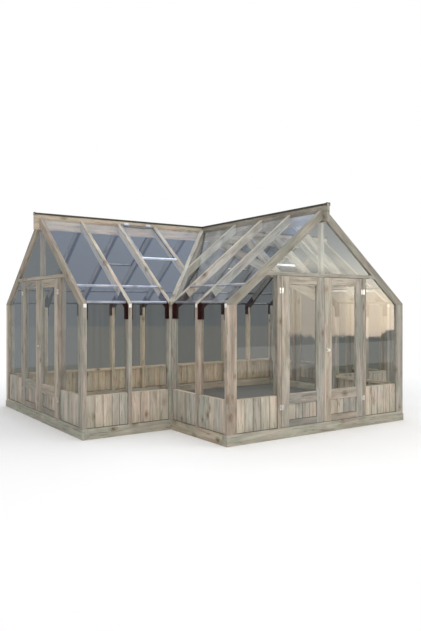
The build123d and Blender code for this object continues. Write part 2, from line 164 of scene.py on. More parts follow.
def weathered_timber(name, cool, warm, stain=0.0, north_shade="#ffffff"):
    """Softwood, sawn and planed, that has stood outdoors for years: matt, ribbed and grey-brown.

    Sun and rain turn its face silvery in some bars and tan in others. The soft summer growth wears back,
    so the grain stands up in long ribs. Knots stay dark with the grain bent round them, and fine checks
    follow the grain. The grain attribute runs in metres, with X along the bar. The damp and shade
    attribute darkens joints and some bars, for damp and dirt and as painted shade, and painted shade makes
    it most where they look down and least where they look up. Stain is how far rain splash shows at the
    foot, and north shade is a colour of painted shade that is laid over the faces that look north.
    """
    material, tree, output = new_material(name)
    grain = add(tree, "ShaderNodeAttribute", attribute_name="grain").outputs["Vector"]
    tone = add(tree, "ShaderNodeAttribute", attribute_name="tone").outputs["Fac"]
    damp = add(tree, "ShaderNodeAttribute", attribute_name="damp").outputs["Fac"]
    place = add(tree, "ShaderNodeTexCoord").outputs["Object"]

    # Knots are up to 45 mm long and 30 mm wide. The places for them lie about 260 mm apart along the
    # grain and 170 mm across it, and two places in five are empty.
    knot_spacing = 0.26
    empty_share = 0.4
    cell_inputs = {"Vector": grain, "Scale": (1.0, 1.5, 1.5)}
    cell_place = add(tree, "ShaderNodeMapping", cell_inputs).outputs["Vector"]
    cells = add(tree, "ShaderNodeTexVoronoi", {"Vector": cell_place, "Scale": 1 / knot_spacing}).outputs
    picked = add(tree, "ShaderNodeSeparateColor", {"Color": cells["Color"]}).outputs["Red"]
    chosen = add(tree, "ShaderNodeMath", {0: picked, 1: empty_share}, operation="GREATER_THAN").outputs[0]
    core_range = {"Value": cells["Distance"], "From Min": 0.12, "From Max": 0.05, "To Max": chosen}
    core = add(tree, "ShaderNodeMapRange", core_range, **SOFT).outputs["Result"]
    halo_range = {"Value": cells["Distance"], "From Min": 0.34, "From Max": 0.06, "To Max": chosen}
    halo = add(tree, "ShaderNodeMapRange", halo_range, **SOFT).outputs["Result"]

    # Round a knot the grain is bent by up to 22 mm in each of the two directions across it.
    bend_inputs = {0: (0.0, 0.022, 0.022), "Scale": halo}
    bend = add(tree, "ShaderNodeVectorMath", bend_inputs, operation="SCALE")
    bent = add(tree, "ShaderNodeVectorMath", {0: grain, 1: bend.outputs[0]}, operation="ADD").outputs[0]

    def along(length_mm, width_mm, detail, rough, warp=0.0):
        """Noise whose marks are about so long along the grain and so wide across it."""
        across = NOISE_MARK_MM / width_mm
        scale = (NOISE_MARK_MM / length_mm, across, across)
        sized = add(tree, "ShaderNodeMapping", {"Vector": bent, "Scale": scale}).outputs["Vector"]
        inputs = {"Vector": sized, "Scale": 1.0, "Detail": detail, "Roughness": rough, "Distortion": warp}
        return add(tree, "ShaderNodeTexNoise", inputs).outputs["Fac"]

    # Fibres and checks are finer in real wood, and are drawn as coarse as they need to be to show.
    bands = along(280, 36, 4.0, 0.62, 0.6)
    patches = along(500, 150, 3.0, 0.55)
    algae = along(150, 60, 3.0, 0.6, 0.4)
    fibres = along(120, 4, 3.0, 0.6)
    checks = along(110, 9, 3.0, 0.6, 0.3)

    # Each bar leans to silver or to tan by its tone, and in patches along it.
    places = (0.24, 0.50, 0.74)
    grey = add(tree, "ShaderNodeValToRGB", {"Fac": bands}, list(zip(places, cool))).outputs["Color"]
    tan = add(tree, "ShaderNodeValToRGB", {"Fac": bands}, list(zip(places, warm))).outputs["Color"]
    lean = add(tree, "ShaderNodeMath", {0: patches, 1: tone}, operation="ADD").outputs[0]
    tan_range = {"Value": lean, "From Min": 0.55, "From Max": 1.45}
    tan_share = add(tree, "ShaderNodeMapRange", tan_range, **SOFT).outputs["Result"]
    colour = add(tree, "ShaderNodeMix", {0: tan_share, 6: grey, 7: tan}, **MIX).outputs[2]

    # Algae green it in blotches 150 mm long and 60 mm wide, and the wood between them is a little pink.
    hue_stops = [(0.34, "#eef4ee"), (0.50, "#f8f8f5"), (0.66, "#fdf5f2")]
    hue = add(tree, "ShaderNodeValToRGB", {"Fac": algae}, hue_stops).outputs["Color"]
    colour = add(tree, "ShaderNodeMix", {0: 1.0, 6: colour, 7: hue}, **MULTIPLY).outputs[2]

    # Worn fibres are paler, a ring about each knot is browner, and checks and knots are dark.
    shade_range = {"Value": fibres, "From Min": 0.25, "From Max": 0.75, "To Min": 0.95, "To Max": 1.23}
    shade = add(tree, "ShaderNodeMapRange", shade_range, **SOFT).outputs["Result"]
    colour = add(tree, "ShaderNodeMix", {0: 1.0, 6: colour, 7: shade}, **MULTIPLY).outputs[2]
    ring = add(tree, "ShaderNodeMath", {0: halo, 1: 0.6}, operation="MULTIPLY").outputs[0]
    ring_layer = {0: ring, 6: colour, 7: linear("#b7a793")}
    colour = add(tree, "ShaderNodeMix", ring_layer, **MULTIPLY).outputs[2]
    check_range = {"Value": checks, "From Min": 0.57, "From Max": 0.70, "To Max": 0.55}
    check_mask = add(tree, "ShaderNodeMapRange", check_range, **SOFT).outputs["Result"]
    check_layer = {0: check_mask, 6: colour, 7: linear("#5a5247")}
    colour = add(tree, "ShaderNodeMix", check_layer, **MIX).outputs[2]
    knot_layer = {0: core, 6: colour, 7: linear("#786c5e")}
    colour = add(tree, "ShaderNodeMix", knot_layer, **MIX).outputs[2]

    # Painted shade greys and cools the faces that look north.
    facing = add(tree, "ShaderNodeNewGeometry").outputs["Normal"]
    facing_axes = add(tree, "ShaderNodeSeparateXYZ", {"Vector": facing}).outputs
    north_range = {"Value": facing_axes["Y"], "From Min": 0.4, "From Max": 0.7}
    northwards = add(tree, "ShaderNodeMapRange", north_range, **SOFT).outputs["Result"]
    north_shade_layer = {0: northwards, 6: colour, 7: linear(north_shade)}
    colour = add(tree, "ShaderNodeMix", north_shade_layer, **MULTIPLY).outputs[2]

    # Damp darkens the bars, and painted shade makes undersides darkest and tops lightest.
    upwards = facing_axes["Z"]
    top_range = {"Value": upwards, "From Min": 0.3, "From Max": 0.6, "To Min": 1.0, "To Max": 0.25}
    top = add(tree, "ShaderNodeMapRange", top_range, **SOFT).outputs["Result"]
    under_range = {"Value": upwards, "From Min": -0.2, "From Max": -0.5, "To Min": top, "To Max": 1.6}
    facing_shade = add(tree, "ShaderNodeMapRange", under_range, **SOFT).outputs["Result"]
    dark = add(tree, "ShaderNodeMath", {0: damp, 1: facing_shade}, operation="MULTIPLY").outputs[0]
    damp_and_shade_layer = {0: dark, 6: colour, 7: linear("#2b2e31")}
    colour = add(tree, "ShaderNodeMix", damp_and_shade_layer, **MIX).outputs[2]

    # Rain splash greens and darkens the foot of the walls.
    splash_height = 0.30
    height = add(tree, "ShaderNodeSeparateXYZ", {"Vector": place}).outputs["Z"]
    splash_range = {"Value": height, "From Min": splash_height, "From Max": 0.0, "To Max": stain}
    splash = add(tree, "ShaderNodeMapRange", splash_range, **SOFT).outputs["Result"]
    splash_layer = {0: splash, 6: colour, 7: linear("#a9ab93")}
    colour = add(tree, "ShaderNodeMix", splash_layer, **MULTIPLY).outputs[2]

    ridges = add(tree, "ShaderNodeMath", {0: fibres, 1: 0.35}, operation="MULTIPLY").outputs[0]
    relief = add(tree, "ShaderNodeMath", {0: bands, 1: ridges}, operation="ADD").outputs[0]
    cut = add(tree, "ShaderNodeMath", {0: relief, 1: check_mask}, operation="SUBTRACT").outputs[0]
    bump_inputs = {"Strength": 0.5, "Distance": 0.0012, "Height": cut}
    bump = add(tree, "ShaderNodeBump", bump_inputs).outputs["Normal"]
    inputs = {"Base Color": colour, "Roughness": 0.86, "Specular IOR Level": 0.25, "Normal": bump}
    surface = add(tree, "ShaderNodeBsdfPrincipled", inputs)
    tree.links.new(surface.outputs[0], output.inputs["Surface"])
    return material


def pane_glass(name, clear, film, veil, mirror, faces):
    """Float glass, 4 mm: clear, sharply mirroring, with a thin film of dust that the rain draws into runs.

    The face that looks out of the pane does the work of both faces: it passes the clear colour, veils it
    by the film and mirrors by the angle of view, as much as the given number of clean faces would. Behind
    another pane it only passes the clear colour. Light on its way to other surfaces goes through, less a
    twentieth.
    """
    material, tree, output = new_material(name)
    place = add(tree, "ShaderNodeTexCoord").outputs["Object"]
    path = add(tree, "ShaderNodeLightPath").outputs

    # Rain leaves the dust in runs 20 mm wide and half a metre long.
    run_width_mm, run_length_mm = 20, 500
    across = NOISE_MARK_MM / run_width_mm
    run_scale = (across, across, NOISE_MARK_MM / run_length_mm)
    sized = add(tree, "ShaderNodeMapping", {"Vector": place, "Scale": run_scale}).outputs["Vector"]
    dust_inputs = {"Vector": sized, "Scale": 1.0, "Detail": 4.0, "Roughness": 0.55}
    dust = add(tree, "ShaderNodeTexNoise", dust_inputs).outputs["Fac"]
    thin, thick = veil * 0.2, veil * 1.8
    cover_range = {"Value": dust, "From Min": 0.3, "From Max": 0.7, "To Min": thin, "To Max": thick}
    cover = add(tree, "ShaderNodeMapRange", cover_range, **SOFT).outputs["Result"]
    through = add(tree, "ShaderNodeBsdfTransparent", {"Color": linear(clear)}).outputs[0]
    dusty = add(tree, "ShaderNodeBsdfDiffuse", {"Color": linear(film)}).outputs[0]
    body = add(tree, "ShaderNodeMixShader", {0: cover, 1: through, 2: dusty}).outputs[0]

    # The panes aren't quite level: swells about a quarter of a metre long bend what they mirror.
    swell_mm = 250
    swell_inputs = {"Vector": place, "Scale": NOISE_MARK_MM / swell_mm, "Detail": 1.0}
    swell = add(tree, "ShaderNodeTexNoise", swell_inputs).outputs["Fac"]
    level_inputs = {"Strength": 0.15, "Distance": 0.004, "Height": swell}
    level = add(tree, "ShaderNodeBump", level_inputs).outputs["Normal"]
    sheen = {"Color": linear(mirror), "Roughness": 0.0, "Normal": level}
    mirrored = add(tree, "ShaderNodeBsdfGlossy", sheen).outputs[0]
    one_face = add(tree, "ShaderNodeFresnel", {"IOR": 1.5}).outputs["Fac"]
    both = add(tree, "ShaderNodeMath", {0: one_face, 1: faces}, operation="MULTIPLY", use_clamp=True)
    seen = add(tree, "ShaderNodeMixShader", {0: both.outputs[0], 1: body, 2: mirrored}).outputs[0]
    behind = add(tree, "ShaderNodeMath", {0: path["Transparent Depth"], 1: 0.5}, operation="GREATER_THAN")
    seen = add(tree, "ShaderNodeMixShader", {0: behind.outputs[0], 1: seen, 2: through}).outputs[0]

    lit = add(tree, "ShaderNodeBsdfTransparent", {"Color": (0.95, 0.95, 0.95, 1.0)}).outputs[0]
    light_inputs = {0: path["Is Shadow Ray"], 1: path["Is Diffuse Ray"]}
    light = add(tree, "ShaderNodeMath", light_inputs, operation="MAXIMUM").outputs[0]
    outer = add(tree, "ShaderNodeMixShader", {0: light, 1: seen, 2: lit}).outputs[0]
    leaving = add(tree, "ShaderNodeBsdfTransparent", {"Color": WHITE}).outputs[0]
    inner_side = add(tree, "ShaderNodeNewGeometry").outputs["Backfacing"]
    surface = add(tree, "ShaderNodeMixShader", {0: inner_side, 1: outer, 2: leaving}).outputs[0]
    tree.links.new(surface, output.inputs["Surface"])
    return material


def worn_metal(name, colour, dull, smooth, metallic, mark_mm, shine=0.5, underside_colour=None, dull_band=None):
    """Smooth sheet, section or moulding that has dulled outdoors, in patches about mark_mm long.

    Smooth is the roughness between the patches, and they are rougher by 0.18. Underside colour is the
    colour of the faces that look down. Dull band is two heights and the colour that the metal has between
    them, with soft edges 10 mm wide.
    """
    band_edge = 0.01
    rough = smooth + 0.18
    material, tree, output = new_material(name)
    place = add(tree, "ShaderNodeTexCoord").outputs["Object"]
    mark_inputs = {"Vector": place, "Scale": NOISE_MARK_MM / mark_mm, "Detail": 4.0, "Roughness": 0.6}
    marks = add(tree, "ShaderNodeTexNoise", mark_inputs).outputs["Fac"]
    patch_range = {"Value": marks, "From Min": 0.35, "From Max": 0.7}
    patch = add(tree, "ShaderNodeMapRange", patch_range, **SOFT).outputs["Result"]
    shown = add(tree, "ShaderNodeMix", {0: patch, 6: linear(colour), 7: linear(dull)}, **MIX).outputs[2]
    if dull_band:
        band_low, band_high, band_colour = dull_band
        height = add(tree, "ShaderNodeSeparateXYZ", {"Vector": place}).outputs["Z"]
        above_range = {"Value": height, "From Min": band_low, "From Max": band_low + band_edge}
        above = add(tree, "ShaderNodeMapRange", above_range, **SOFT).outputs["Result"]
        below_head = band_high - band_edge
        within_range = {"Value": height, "From Min": band_high, "From Max": below_head, "To Max": above}
        within = add(tree, "ShaderNodeMapRange", within_range, **SOFT).outputs["Result"]
        band_layer = {0: within, 6: shown, 7: linear(band_colour)}
        shown = add(tree, "ShaderNodeMix", band_layer, **MIX).outputs[2]
    if underside_colour:
        facing = add(tree, "ShaderNodeNewGeometry").outputs["Normal"]
        upwards = add(tree, "ShaderNodeSeparateXYZ", {"Vector": facing}).outputs["Z"]
        down_range = {"Value": upwards, "From Min": -0.2, "From Max": -0.4}
        downwards = add(tree, "ShaderNodeMapRange", down_range, **SOFT).outputs["Result"]
        underside_layer = {0: downwards, 6: shown, 7: linear(underside_colour)}
        shown = add(tree, "ShaderNodeMix", underside_layer, **MIX).outputs[2]
    rough_range = {"Value": marks, "From Min": 0.3, "From Max": 0.75, "To Min": smooth, "To Max": rough}
    roughness = add(tree, "ShaderNodeMapRange", rough_range, **SOFT).outputs["Result"]
    bump_inputs = {"Strength": 0.1, "Distance": 0.0005, "Height": marks}
    bump = add(tree, "ShaderNodeBump", bump_inputs).outputs["Normal"]
    inputs = {"Base Color": shown, "Metallic": metallic, "Roughness": roughness, "Normal": bump,
              "Specular IOR Level": shine}
    surface = add(tree, "ShaderNodeBsdfPrincipled", inputs)
    tree.links.new(surface.outputs[0], output.inputs["Surface"])
    return material


# Timbers: the dark, middle and pale bands of the silvery bars, and then of the tan ones. Frame and doors
# share their greys. The doors' tans are paler.
COOL = ("#72716a", "#94918a", "#aeaba3")
WARM = ("#7f756a", "#a1968a", "#bab0a4")
frame_timber = weathered_timber("weathered_frame_timber", COOL, WARM)
door_timber = weathered_timber("weathered_door_timber", COOL, ("#877c70", "#b0a496", "#c7bcb0"))

# Rafters and the long ridge are bleached paler than the frame. The barge rafters and the short ridge are
# the darkest.
roof_timber = weathered_timber("weathered_roof_timber", ("#878580", "#a9a7a0", "#c3c1b9"),
                               ("#948b80", "#b8afa3", "#cec6bb"))
barge_timber = weathered_timber("weathered_barge_timber", ("#6b6962", "#8a877e", "#a3a096"),
                                ("#786f65", "#998f84", "#b1a79b"))
ridge_timber = weathered_timber("weathered_ridge_timber", ("#8b867d", "#aca59a", "#c3bcb0"),
                                ("#93887a", "#b7aa9b", "#cbc0b1"))

# Sills and boards are pale, with a green tinge from rain splash at the foot.
sill_timber = weathered_timber("weathered_sill_timber", ("#8a8880", "#ada9a0", "#c5c1b7"),
                               ("#938779", "#b5a898", "#cbc0b2"), 0.3)
board_timber = weathered_timber("weathered_boards", ("#827f77", "#a6a299", "#bebab1"),
                                ("#93887c", "#b9ad9f", "#cfc4b7"), 0.35)

# The north wall is paler and yellower, as painted sunlight on its inner side, and painted shade greys its
# outside.
north_painted_light_timber = weathered_timber("north_timber_painted_light", ("#a09483", "#beb09c", "#d3c7b4"),
                                ("#ac9b86", "#cbb89f", "#decdb6"), 0.2, "#d0d6dc")

# Glass: what it passes, its dust and how much of it, the tint of what it mirrors, and its clean faces.
# The walls are the dustiest and mirror darkly, the gables mirror brightly, and the roof mirrors less and
# a little cold.
roof_glass = pane_glass("roof_glass", "#eceeef", "#9aa0a6", 0.03, "#f4f8ff", 0.65)
wall_glass = pane_glass("wall_glass", "#eceeec", "#a0a2a3", 0.06, "#626464", 1.85)
gable_glass = pane_glass("gable_glass", "#eceeec", "#9c9c98", 0.03, "#d9dad9", 1.85)

# Metal and moulding: clean colour, dull colour, roughness, metallic share, length of the dull patches, and
# the shine where it is low

# Extruded aluminium as it left the mill has a soft grey sheen, and the faces that look down are dark.
glazing_metal = worn_metal("mill_aluminium", "#b7b4b6", "#96949a", 0.42, 1.0, 60, underside_colour="#2c3036")

# The vents' aluminium is brighter at the foot bar and at the hinges, and dull between them.
VENT_FOOT, VENT_HEAD = 0.03, 0.02
VENT_LOW, VENT_HIGH = (corner.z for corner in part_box("roof_vent_frames"))
vent_metal = worn_metal("vent_aluminium", "#d6d8da", "#bcbfc2", 0.36, 1.0, 60, underside_colour="#2c3036",
                        dull_band=(VENT_LOW + VENT_FOOT, VENT_HIGH - VENT_HEAD, "#8b8780"))

# Zinc plating is pale and bright, with a small mottle.
door_metal = worn_metal("zinc_plated_steel", "#e2e2de", "#bcbcb6", 0.3, 1.0, 12)

# Folded sheet under dark paint is nearly matt. The oxide red of the plates is almost black and matt.
ridge_sheet = worn_metal("painted_ridge_sheet", "#3a3a34", "#4a4941", 0.55, 0.0, 90, 0.3)
plate_paint = worn_metal("oxide_red_painted_steel", "#240a0a", "#2e1110", 0.6, 0.0, 50, 0.08)

# Moulded plastic is white with a soft gloss.
clip_plastic = worn_metal("white_moulded_clips", "#eeeeec", "#dfdfdb", 0.4, 0.0, 12)


# Meshes

WELD_DISTANCE = 1e-5
FLAT_ANGLE = math.radians(0.5)
ARRIS_ANGLE = math.radians(40)


def mark(mesh, marks):
    """Gives the vertices their marks: places in the grain, and numbers for tone and for damp and painted
    shade.
    """
    for name, values in marks.items():
        vector = values.ndim == 2
        made = mesh.attributes.new(name, "FLOAT_VECTOR" if vector else "FLOAT", "POINT")
        made.data.foreach_set("vector" if vector else "value", values.ravel())


def piece_from(name, points, faces, marks, material, slot, body=FRAME_BODY):
    """A mesh object at the origin that rides on a body."""
    mesh = bpy.data.meshes.new(name)
    mesh.from_pydata(points.tolist(), [], faces)
    mesh.update()
    mark(mesh, marks)
    mesh.materials.append(material)
    made = bpy.data.objects.new(name, mesh)
    bpy.context.scene.collection.objects.link(made)
    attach(made, body)
    return made


def islands_of(mesh):
    """Vertex places, edges and, for each vertex, the number of the connected part that it is in.

    Each vertex starts with its own number and takes the lowest one that it can reach over the edges, step
    by step, until none changes.
    """
    places = np.empty(len(mesh.vertices) * 3)
    mesh.vertices.foreach_get("co", places)
    edges = np.empty(len(mesh.edges) * 2, int)
    mesh.edges.foreach_get("vertices", edges)
    edges = edges.reshape(-1, 2)
    labels = np.arange(len(mesh.vertices))
    while True:
        lowest = labels.copy()
        np.minimum.at(lowest, edges[:, 0], labels[edges[:, 1]])
        np.minimum.at(lowest, edges[:, 1], labels[edges[:, 0]])
        lowest = np.minimum(lowest, lowest[lowest])
        if np.array_equal(lowest, labels):
            break
        labels = lowest
    return places.reshape(-1, 3), edges, np.unique(labels, return_inverse=True)[1]


def welded(node):
    """A copy of a CAD node's mesh with its loose triangles joined and its flat faces made whole."""
    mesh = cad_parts[node].data.copy()
    work = bmesh.new()
    work.from_mesh(mesh)
    bmesh.ops.remove_doubles(work, verts=work.verts, dist=WELD_DISTANCE)
    bmesh.ops.dissolve_limit(work, angle_limit=FLAT_ANGLE, verts=work.verts, edges=work.edges)
    work.to_mesh(mesh)
    work.free()
    return mesh


def solid_boxes(node):
    """Lowest and highest corner of each separate solid in a CAD node."""
    places, _, labels = islands_of(welded(node))
    parts = [places[labels == part] for part in range(labels.max() + 1)]
    return [(part.min(0), part.max(0)) for part in parts]


def grain_frame(direction):
    """Rows of a turn that brings a bar's length to X.

    They are the length, the direction square to it and to a helper, and the direction square to both. The
    helper is upright, or lies along X for a bar that is nearly upright itself.
    """
    length = direction / np.linalg.norm(direction)
    nearly_upright = abs(length[2]) >= 0.9
    helper = np.array([1.0, 0.0, 0.0]) if nearly_upright else np.array([0.0, 0.0, 1.0])
    side = np.cross(helper, length)
    side /= np.linalg.norm(side)
    return np.array([length, side, np.cross(length, side)])


def dressed(node, material, damp=0.0):
    """A CAD timber with eased arrises, each bar with its own tone and grain along its longest edge.

    Damp and shade is how dark the bars are drawn, for damp and as painted shade.
    """
    mesh = welded(node)
    places, edges, labels = islands_of(mesh)
    spans = places[edges[:, 1]] - places[edges[:, 0]]
    lengths = np.linalg.norm(spans, axis=1)
    grain = np.zeros_like(places)
    tone = np.zeros(len(places))
    for part in range(labels.max() + 1):
        own = np.flatnonzero(labels[edges[:, 0]] == part)
        longest = spans[own[np.argmax(lengths[own])]]
        inside = labels == part
        middle = places[inside].mean(0)
        turned = (places[inside] - middle) @ grain_frame(longest).T
        grain[inside] = turned + rng.uniform(0, GRAIN_SPREAD, 3)
        tone[inside] = rng.uniform(0, 1)
    mark(mesh, {"grain": grain, "tone": tone, "damp": np.full(len(places), damp)})
    mesh.materials.clear()
    mesh.materials.append(material)
    made = bpy.data.objects.new(node + "_dressed", mesh)
    bpy.context.scene.collection.objects.link(made)
    arris = made.modifiers.new("eased_arrises", "BEVEL")
    arris.width = TIMBER_CHAMFER
    arris.segments = 1
    arris.limit_method = "ANGLE"
    arris.angle_limit = ARRIS_ANGLE
    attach(made, FRAME_BODY)
    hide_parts(node)


# A rectangle's outline with cut corners: the side that each point is on, and the direction of its cut
SIDE_A = np.array([-1, 1, 1, 1, 1, -1, -1, -1])
SIDE_B = np.array([-1, -1, -1, 1, 1, 1, 1, -1])
CUT_A = np.array([1, 1, 0, 0, 1, 1, 0, 0])
OUTLINE = len(SIDE_A)
STATIONS = 4
BAR_POINTS = OUTLINE * STATIONS


def bars(boxes, chamfer):
    """Chamfered bars as points, faces and marks, from (lowest corner, highest corner, long axis, damp and
    shade).

    Each bar is a rectangle with its corners cut by the chamfer, carried along its long axis through four
    stations. At the first and last it is drawn in by the chamfer, and a face closes each end.
    """
    lows, highs, lengthwise, damp = (np.array(part) for part in zip(*boxes))
    count = len(boxes)
    axes = (lengthwise[:, None] + np.arange(3)) % 3
    low = np.take_along_axis(lows, axes, 1)
    high = np.take_along_axis(highs, axes, 1)
    cut = np.minimum(chamfer, (high - low).min(1) / 4)[:, None]
    run = np.hstack([low[:, :1], low[:, :1] + cut, high[:, :1] - cut, high[:, :1]])
    drawn_in = (cut * np.array([1, 0, 0, 1]))[..., None]
    middle = ((low + high) / 2)[:, None, None]
    half = ((high - low) / 2)[:, None, None]
    local = np.empty((count, STATIONS, OUTLINE, 3))
    local[..., 0] = run[..., None]
    local[..., 1] = middle[..., 1] + SIDE_A * (half[..., 1] - drawn_in - cut[..., None] * CUT_A)
    local[..., 2] = middle[..., 2] + SIDE_B * (half[..., 2] - drawn_in - cut[..., None] * (1 - CUT_A))
    local = local.reshape(count, BAR_POINTS, 3)
    points = np.empty_like(local)
    np.put_along_axis(points, np.broadcast_to(axes[:, None], local.shape), local, 2)
    grain = local + rng.uniform(0, GRAIN_SPREAD, (count, 1, 3))
    tone = rng.uniform(0, 1, count)
    marks = {
        "grain": grain.reshape(-1, 3),
        "tone": np.repeat(tone, BAR_POINTS),
        "damp": np.repeat(damp, BAR_POINTS),
    }
    ring = np.arange(OUTLINE)
    edge = np.stack([ring, (ring + 1) % OUTLINE], -1) + OUTLINE * np.arange(STATIONS - 1)[:, None, None]
    quads = np.concatenate([edge, edge[..., ::-1] + OUTLINE], -1).reshape(-1, 4)
    ends = np.array([ring[::-1], ring + OUTLINE * (STATIONS - 1)])
    first = BAR_POINTS * np.arange(count)[:, None, None]
    faces = (quads + first).reshape(-1, 4).tolist() + (ends + first).reshape(-1, OUTLINE).tolist()
    return points.reshape(-1, 3), faces, marks


def boards_across(low, high, axis, depth_axis, joint_dirt_and_shade=JOINT_DIRT_AND_SHADE):
    """Upright boards that fill a panel, with a tongue in each joint and a fillet below.

    The joints lie at even steps across the panel, each moved by its own random share of a step. A board
    runs from half a gap past one joint to half a gap before the next.
    """
    count = max(LEAST_BOARDS, round((high[axis] - low[axis]) / BOARD_WIDTH))
    step = (high[axis] - low[axis]) / count
    joints = low[axis] + step * np.arange(count + 1)
    joints[1:-1] += rng.uniform(-WIDTH_JITTER, WIDTH_JITTER, count - 1) * step
    made = []
    for start, end in zip(joints, joints[1:]):
        corner, far = low.copy(), high.copy()
        corner[axis], far[axis] = start + BOARD_GAP / 2, end - BOARD_GAP / 2
        corner[2] += FOOT_GAP
        corner[depth_axis] += rng.uniform(0, DEPTH_JITTER)
        far[depth_axis] -= rng.uniform(0, DEPTH_JITTER)
        made.append((corner, far, 2, 0.0))
    third = (high[depth_axis] - low[depth_axis]) / 3
    tongue_low, tongue_high = low.copy(), high.copy()
    tongue_low[depth_axis] += third
    tongue_high[depth_axis] -= third
    for joint in joints[1:-1]:
        corner, far = tongue_low.copy(), tongue_high.copy()
        corner[axis], far[axis] = joint - TONGUE_REACH, joint + TONGUE_REACH
        corner[2] += FILLET_HEIGHT
        # The tongues and the fillet are darkened for dirt and as painted shade in the joints.
        made.append((corner, far, 2, joint_dirt_and_shade))
    far = tongue_high.copy()
    far[2] = tongue_low[2] + FILLET_HEIGHT
    made.append((tongue_low, far, axis, joint_dirt_and_shade))
    return made


# Timbers and boarding

TIMBERS = {
    "gable_sills": (sill_timber, "sill_timber"),
    "long_house_sills": (sill_timber, "sill_timber"),
    "south_wing_sills": (sill_timber, "sill_timber"),
    "north_posts": (north_painted_light_timber, "frame_timber"),
    "wing_posts": (frame_timber, "frame_timber"),
    "inner_corner_posts": (frame_timber, "frame_timber"),
    "gable_posts": (frame_timber, "frame_timber"),
    "gable_transoms": (frame_timber, "frame_timber"),
    "king_posts": (frame_timber, "frame_timber"),
    "dwarf_wall_rails": (north_painted_light_timber, "boarding"),
    "north_rafters": (roof_timber, "roof_timber"),
    "wing_rafters": (roof_timber, "roof_timber"),
    "valley_rafters": (roof_timber, "roof_timber"),
    "barge_rafters": (barge_timber, "roof_timber"),
    "long_ridge_beam": (ridge_timber, "roof_timber"),
    "south_ridge_beam": (barge_timber, "roof_timber"),
}
for node, (material, slot) in TIMBERS.items():
    dressed(node, material, BAR_DAMP_AND_SHADE.get(node, 0.0))

WALLS = {
    "north_dwarf_wall": (north_painted_light_timber, NORTH_JOINT_DIRT_AND_SHADE),
    "wing_dwarf_walls": (board_timber, JOINT_DIRT_AND_SHADE),
    "gable_dwarf_walls": (board_timber, JOINT_DIRT_AND_SHADE),
}
for node, (material, joint_dirt_and_shade) in WALLS.items():
    made = []
    for low, high in solid_boxes(node):
        axis = int(high[1] - low[1] > high[0] - low[0])
        made += boards_across(low, high, axis, 1 - axis, joint_dirt_and_shade)
    wall = piece_from(node + "_boards", *bars(made, BOARD_CHAMFER), material, "boarding")
    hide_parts(node)


# Doors

def door_boxes(gable, leaf, pane):
    """The members of a door: stiles, rails, boards of the foot panel and beads round the glass.

    Depth is counted inwards from the leaf's outer face, and width runs along the gable.
    """
    axis = 0 if gable == "south" else 1
    depth_axis = 1 - axis
    low, high = (np.array(corner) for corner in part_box(leaf))
    glass_low, glass_high = (np.array(corner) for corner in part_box(pane))

    def member(width, depth, height, lengthwise, damp=0.0):
        """A bar of the leaf from its ranges of width, depth and height."""
        corner, far = np.empty(3), np.empty(3)
        corner[axis], far[axis] = width
        corner[2], far[2] = height
        if gable == "east":
            corner[depth_axis], far[depth_axis] = high[depth_axis] - depth[1], high[depth_axis] - depth[0]
        else:
            corner[depth_axis], far[depth_axis] = low[depth_axis] + depth[0], low[depth_axis] + depth[1]
        return corner, far, lengthwise, damp

    through = (0, LEAF_THICKNESS)
    outer = (low[axis], high[axis])
    inner = (glass_low[axis], glass_high[axis])
    panel = (low[2] + BOTTOM_RAIL_HEIGHT, glass_low[2] - MID_RAIL_HEIGHT)
    framing = [
        member((outer[0], inner[0]), through, (low[2], high[2]), 2),
        member((inner[1], outer[1]), through, (low[2], high[2]), 2),
        member(inner, through, (glass_high[2], high[2]), axis),
        # The middle and bottom rails are darkened for damp and as painted shade.
        member(inner, through, (panel[1], glass_low[2]), axis, MID_RAIL_DAMP_AND_SHADE),
        member(inner, through, (low[2], panel[0]), axis, BOTTOM_RAIL_DAMP_AND_SHADE),
    ]
    foot_low, foot_high, _, _ = member(inner, (PANEL_FRONT, PANEL_BACK), panel, 2)
    boards = boards_across(foot_low, foot_high, axis, depth_axis)
    beads = []
    for depth in ((GLASS_FRONT - BEAD_WIDTH, GLASS_FRONT), (GLASS_BACK, GLASS_BACK + BEAD_WIDTH)):
        sides = (inner[0], inner[0] + BEAD_WIDTH), (inner[1] - BEAD_WIDTH, inner[1])
        beads += [member(side, depth, (glass_low[2], glass_high[2]), 2) for side in sides]
        between = (inner[0] + BEAD_WIDTH, inner[1] - BEAD_WIDTH)
        foot = (glass_low[2], glass_low[2] + BEAD_WIDTH)
        head = (glass_high[2] - BEAD_WIDTH, glass_high[2])
        beads += [member(between, depth, height, axis) for height in (foot, head)]
    return framing + boards + beads


for gable in GABLES:
    for hand in ("left", "right"):
        leaf = f"{gable}_{hand}_door"
        made = door_boxes(gable, leaf, leaf + "_glass")
        body = f"{gable}_{hand}_leaf"
        shape = bars(made, TIMBER_CHAMFER)
        door = piece_from(leaf + "_joinery", *shape, door_timber, "door_timber", body)
        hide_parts(leaf)


# Small white clips at the heads of the posts, under the eaves

# X of the south wing's middle line, and Y of the long house's
MIDDLE_LINES = (0, RIDGE_LINE_Y)
clip_boxes = []
for node in ("north_posts", "wing_posts"):
    for low, high in solid_boxes(node):
        axis = int(high[1] - low[1] < high[0] - low[0])
        depth_axis = 1 - axis
        middle = (low + high) / 2
        outwards = 1 if middle[depth_axis] > MIDDLE_LINES[depth_axis] else -1
        face = high[depth_axis] if outwards > 0 else low[depth_axis]
        corner, far = low.copy(), high.copy()
        corner[axis], far[axis] = middle[axis] - CLIP_WIDTH / 2, middle[axis] + CLIP_WIDTH / 2
        far[2] += CLIP_RISE
        corner[2] = far[2] - CLIP_HEIGHT
        corner[depth_axis], far[depth_axis] = sorted((face, face + outwards * CLIP_THICKNESS))
        clip_boxes.append((corner, far, 2, 0.0))
piece_from("eave_clips", *bars(clip_boxes, CLIP_CHAMFER), clip_plastic, "glazing_metal")


# Finishes of the CAD nodes that are shown as they are

